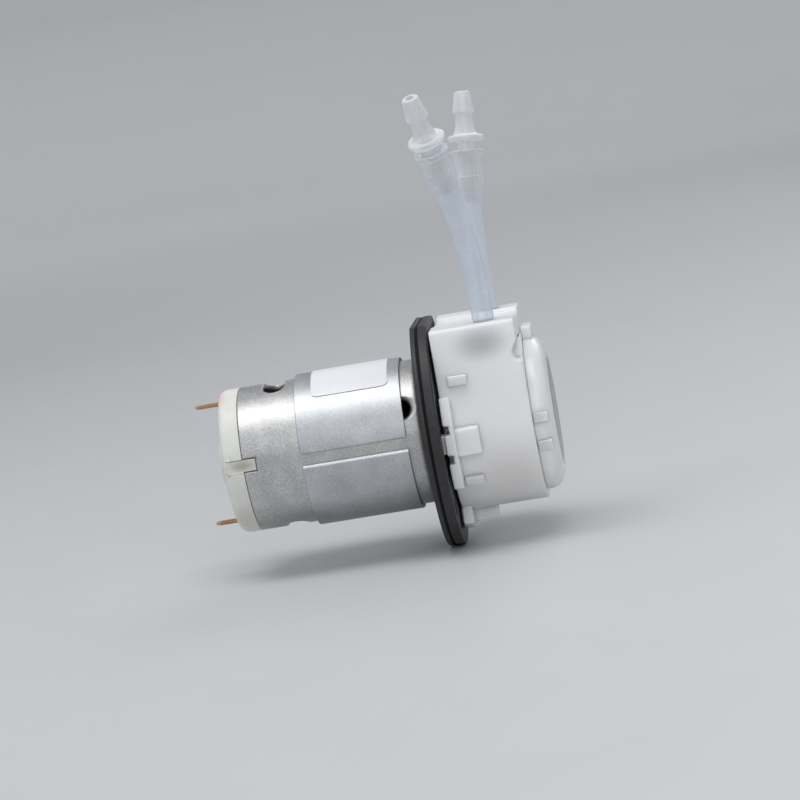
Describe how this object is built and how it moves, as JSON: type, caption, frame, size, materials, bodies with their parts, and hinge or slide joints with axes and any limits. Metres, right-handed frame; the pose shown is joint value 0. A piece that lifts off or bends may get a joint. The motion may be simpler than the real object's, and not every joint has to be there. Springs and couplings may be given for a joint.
{
  "type": "peristaltic pump",
  "caption": "Small peristaltic dosing pump: round DC motor, flanged mounting plate and a snap-fit head whose rollers squeeze a looped silicone tube with two barbed ends.",
  "frame": {"origin": "on the shaft's axis at the rear face of the mounting plate, which is the face that lies on the panel", "axes": "+X along the motor shaft towards the head's front cover, +Z towards the two hoses, +Y across"},
  "size_m": [0.0682, 0.0491, 0.0867],
  "materials": {
    "nylon": "satin",
    "zinc_steel": "satin",
    "label_film": "satin",
    "brass": "satin",
    "copper": "satin",
    "carbon": "matt",
    "ferrite": "matt",
    "sintered_bronze": "satin",
    "core_steel": "satin",
    "bright_steel": "polished",
    "black_plastic": "matt",
    "white_plastic": "satin, slightly translucent",
    "badge_film": "satin",
    "cage_plastic": "satin",
    "roller_plastic": "satin",
    "silicone": "milky and translucent",
    "clear_plastic": "translucent"
  },
  "bodies": {
    "motor_and_plate": {"motor_can": "zinc_steel", "motor_end_bell": "nylon", "flux_ring": "zinc_steel", "motor_label": "label_film", "terminal_upper": "brass", "terminal_lower": "brass", "brush_arm_upper": "copper", "brush_arm_lower": "copper", "carbon_brush_upper": "carbon", "carbon_brush_lower": "carbon", "field_magnet_upper": "ferrite", "field_magnet_lower": "ferrite", "front_bearing": "sintered_bronze", "rear_bearing": "sintered_bronze", "mounting_plate": "black_plastic", "motor_screw_near": "bright_steel", "motor_screw_far": "bright_steel"},
    "rotor": {"motor_shaft": "bright_steel", "armature_core": "core_steel", "armature_winding_1": "copper", "armature_winding_2": "copper", "armature_winding_3": "copper", "commutator": "copper", "drive_sleeve": "bright_steel"},
    "head": {"pump_housing": "white_plastic", "front_cover": "white_plastic", "cover_badge": "badge_film", "pump_tube_loop": "silicone", "inlet_tube": "silicone", "outlet_tube": "silicone", "inlet_fitting": "clear_plastic", "outlet_fitting": "clear_plastic"},
    "cage": {"roller_cage_rear": "cage_plastic", "roller_cage_front": "cage_plastic", "roller_pin_1": "bright_steel", "roller_pin_2": "bright_steel", "roller_pin_3": "bright_steel"},
    "roller_1": {"roller_1": "roller_plastic"},
    "roller_2": {"roller_2": "roller_plastic"},
    "roller_3": {"roller_3": "roller_plastic"}
  },
  "joints": [
    {"name": "shaft_spin", "type": "hinge", "parent": "motor_and_plate", "child": "rotor", "pos_m": [-0.015, 0, 0], "axis": [1, 0, 0], "continuous": true},
    {"name": "head_release", "type": "slide", "parent": "motor_and_plate", "child": "head", "axis": [1, 0, 0], "range_m": [0, 0.025]},
    {"name": "cage_spin", "type": "hinge", "parent": "head", "child": "cage", "pos_m": [0.013, 0, 0], "axis": [1, 0, 0], "continuous": true, "deforming": ["pump_tube_loop"]},
    {"name": "roller_spin_1", "type": "hinge", "parent": "cage", "child": "roller_1", "pos_m": [0.01305, 0, 0.0066], "axis": [1, 0, 0], "continuous": true},
    {"name": "roller_spin_2", "type": "hinge", "parent": "cage", "child": "roller_2", "pos_m": [0.01305, -0.00572, -0.0033], "axis": [1, 0, 0], "continuous": true},
    {"name": "roller_spin_3", "type": "hinge", "parent": "cage", "child": "roller_3", "pos_m": [0.01305, 0.00572, -0.0033], "axis": [1, 0, 0], "continuous": true}
  ],
  "couplings": [
    {"joint": "cage_spin", "follows": "shaft_spin", "ratio": 0.1832},
    {"joint": "roller_spin_1", "follows": "shaft_spin", "ratio": -0.4781},
    {"joint": "roller_spin_2", "follows": "shaft_spin", "ratio": -0.4781},
    {"joint": "roller_spin_3", "follows": "shaft_spin", "ratio": -0.4781}
  ]
}
